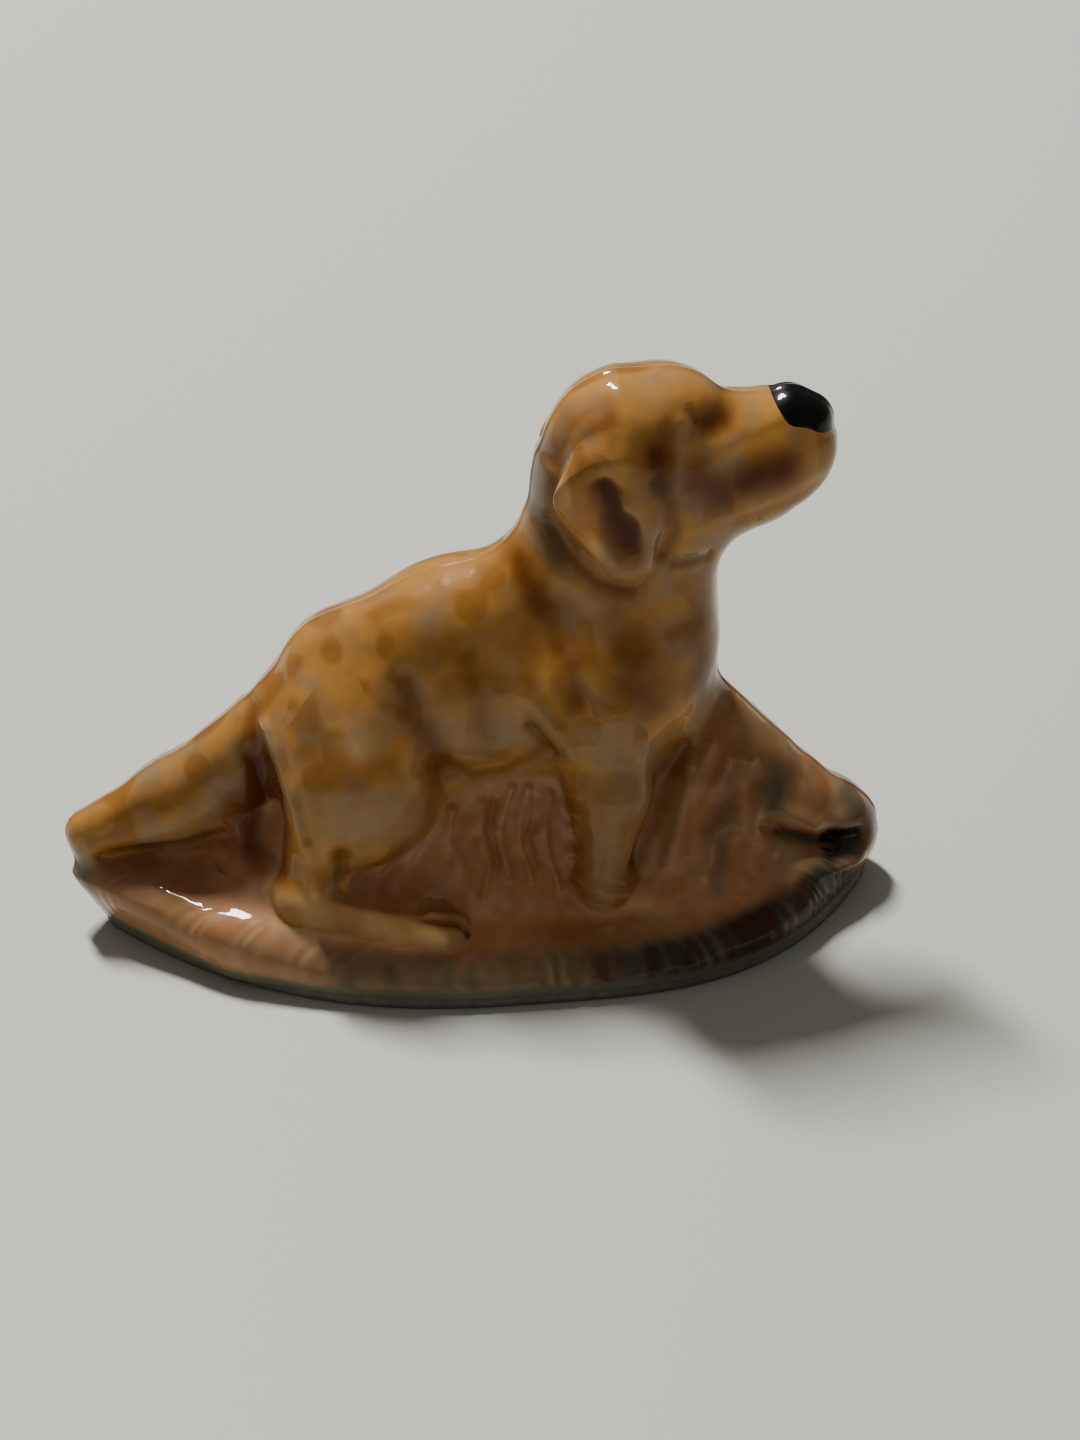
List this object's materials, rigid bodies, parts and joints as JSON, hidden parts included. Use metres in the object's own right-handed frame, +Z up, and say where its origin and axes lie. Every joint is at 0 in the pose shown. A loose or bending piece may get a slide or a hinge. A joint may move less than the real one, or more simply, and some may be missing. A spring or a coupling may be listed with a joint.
{
  "type": "ceramic dog figurine",
  "caption": "Miniature glazed porcelain dog, sitting with its head raised on a pointed oval plinth, for display on a shelf.",
  "frame": {"origin": "centre of the figurine's footprint, on the surface it stands on", "axes": "+X towards the dog's nose, +Y across the dog to its left side, +Z up"},
  "size_m": [0.046, 0.023, 0.0321],
  "materials": {
    "dry_foot": "unglazed, ground flat",
    "plinth_glaze": "clear gloss over a grey-green and brown wash",
    "ground_glaze": "clear gloss over a purple-brown wash",
    "bank_glaze": "clear gloss over a honey-brown wash",
    "coat_glaze": "clear gloss over a mottled honey wash",
    "ear_glaze": "clear gloss over a darker honey wash",
    "limb_glaze": "clear gloss over a thin cream wash",
    "nose_enamel": "gloss black enamel"
  },
  "bodies": {
    "root": {"foot_ring": "dry_foot", "plinth": "plinth_glaze", "ground": "ground_glaze", "bank": "bank_glaze", "torso": "coat_glaze", "neck": "coat_glaze", "head": "coat_glaze", "nose": "nose_enamel", "right_ear": "ear_glaze", "left_ear": "ear_glaze", "tail": "coat_glaze", "right_haunch": "coat_glaze", "left_haunch": "coat_glaze", "right_hind_foot": "limb_glaze", "left_hind_foot": "limb_glaze", "right_foreleg": "limb_glaze", "left_foreleg": "limb_glaze"}
  },
  "joints": []
}
